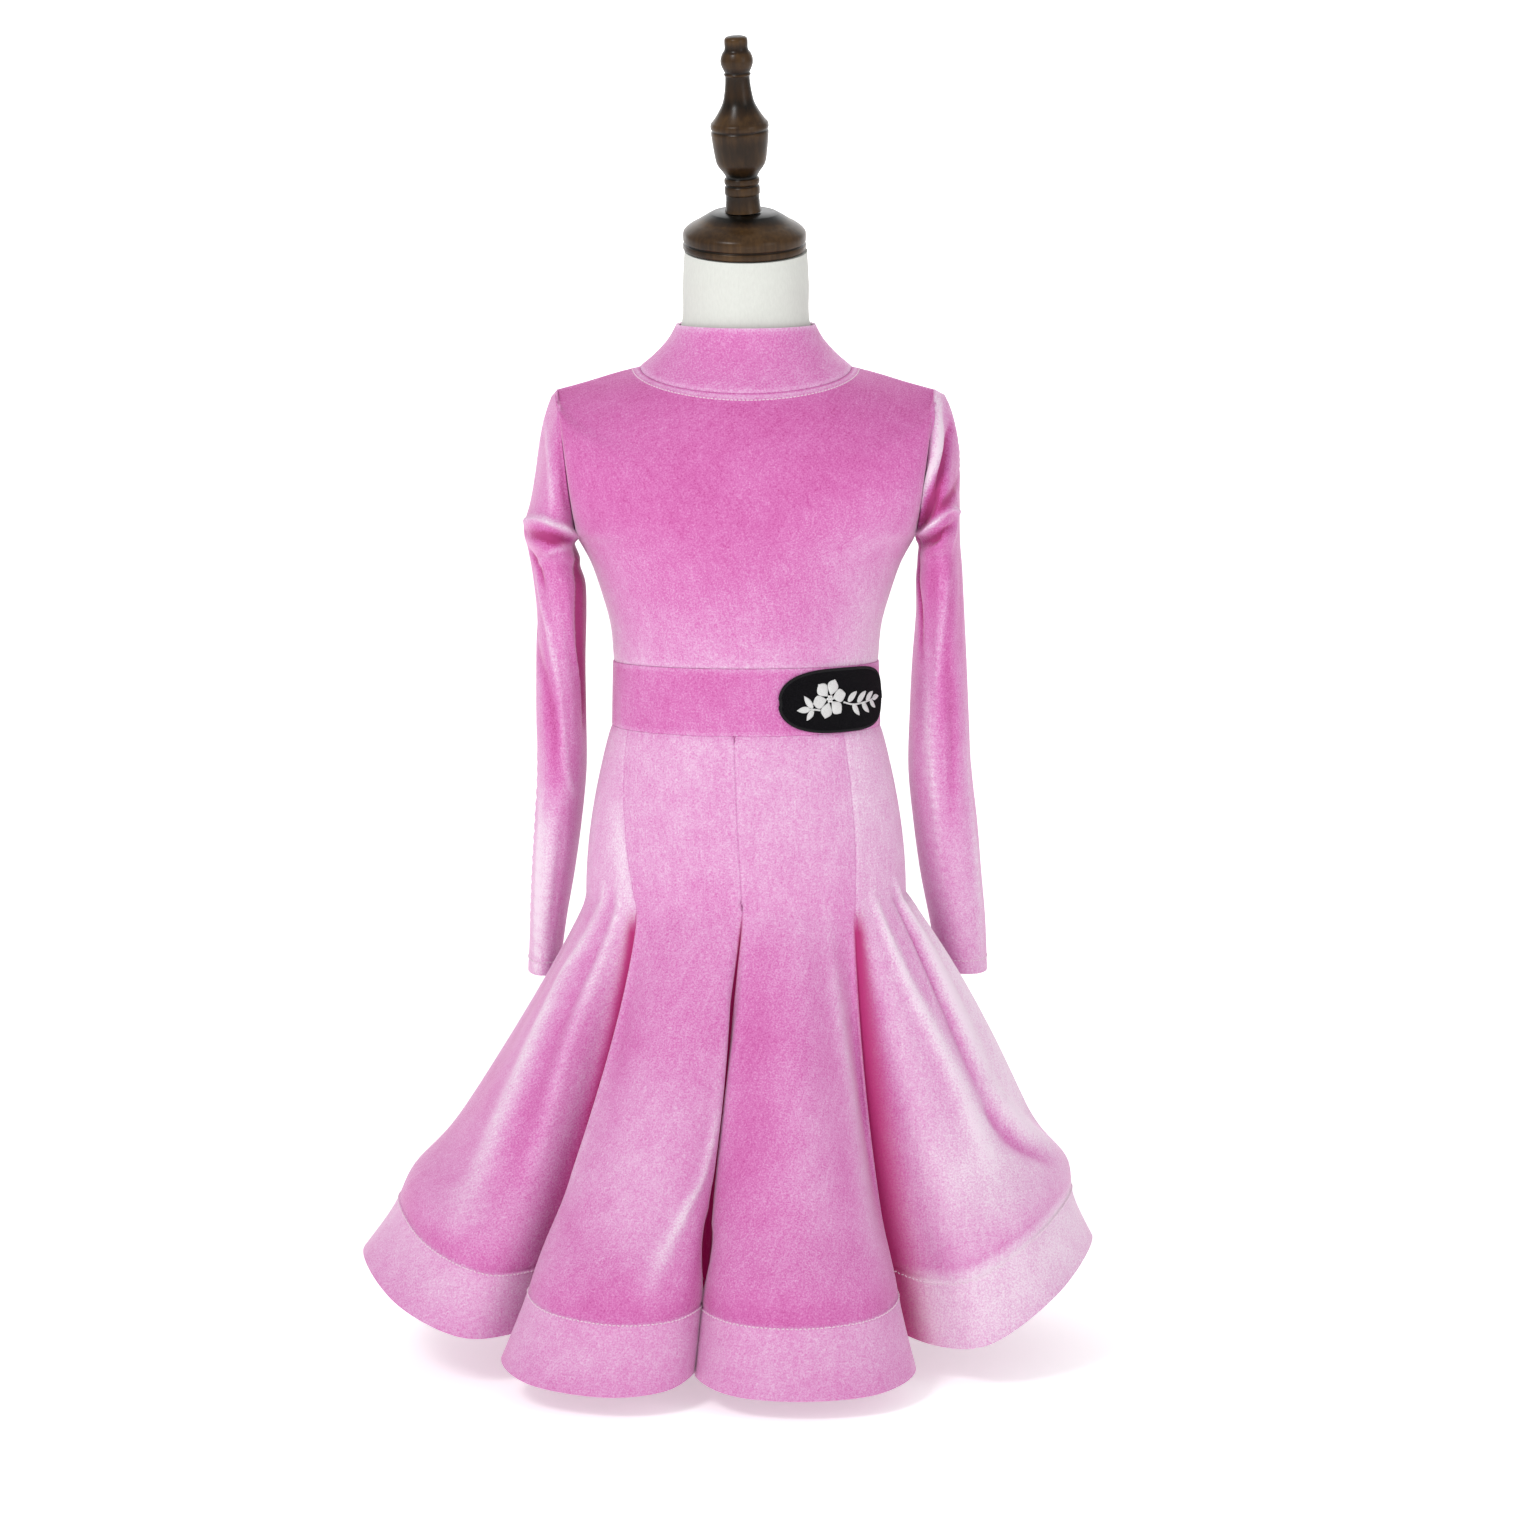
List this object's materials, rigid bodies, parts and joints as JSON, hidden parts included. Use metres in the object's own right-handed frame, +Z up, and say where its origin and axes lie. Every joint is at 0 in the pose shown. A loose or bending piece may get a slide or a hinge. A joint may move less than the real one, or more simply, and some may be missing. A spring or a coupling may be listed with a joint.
{
  "type": "latin dance dress on a dress form",
  "caption": "Child's long-sleeved latin dance dress with mock neck, belt and flared gored skirt, standing on a limbless table-top dress form.",
  "frame": {"origin": "middle of the underside of the stand's base, on the table", "axes": "+Z up along the stand's pole; the wearer's front faces -Y and +X is on the wearer's left"},
  "size_m": [0.5286, 0.456, 0.9479],
  "materials": {
    "velvet": "pink stretch velvet, short shiny pile",
    "patch": "black felt with white embroidery",
    "zip_metal": "satin nickel",
    "form_cloth": "off-white jersey, taut",
    "dark_wood": "dark brown stain, satin lacquer",
    "stand_steel": "satin"
  },
  "bodies": {
    "dress_on_form": {"collar": "velvet", "bodice_front": "velvet", "bodice_back_left": "velvet", "bodice_back_right": "velvet", "sleeve_left": "velvet", "sleeve_right": "velvet", "waistband_front": "velvet", "waistband_back": "velvet", "skirt_front_left": "velvet", "skirt_front_right": "velvet", "skirt_side_left": "velvet", "skirt_side_right": "velvet", "skirt_back_left": "velvet", "skirt_back_right": "velvet", "belt_patch": "patch", "zip_slider": "zip_metal", "form_torso": "form_cloth", "neck_cap": "dark_wood", "finial": "dark_wood", "stand_pole": "stand_steel", "stand_base": "stand_steel"},
    "zip_tab": {"zip_pull": "zip_metal"}
  },
  "joints": [
    {"name": "zip_tab_hinge", "type": "hinge", "parent": "dress_on_form", "child": "zip_tab", "pos_m": [0, 0.05172, 0.73142], "axis": [1, 0, 0], "range_deg": [0, 150]}
  ]
}
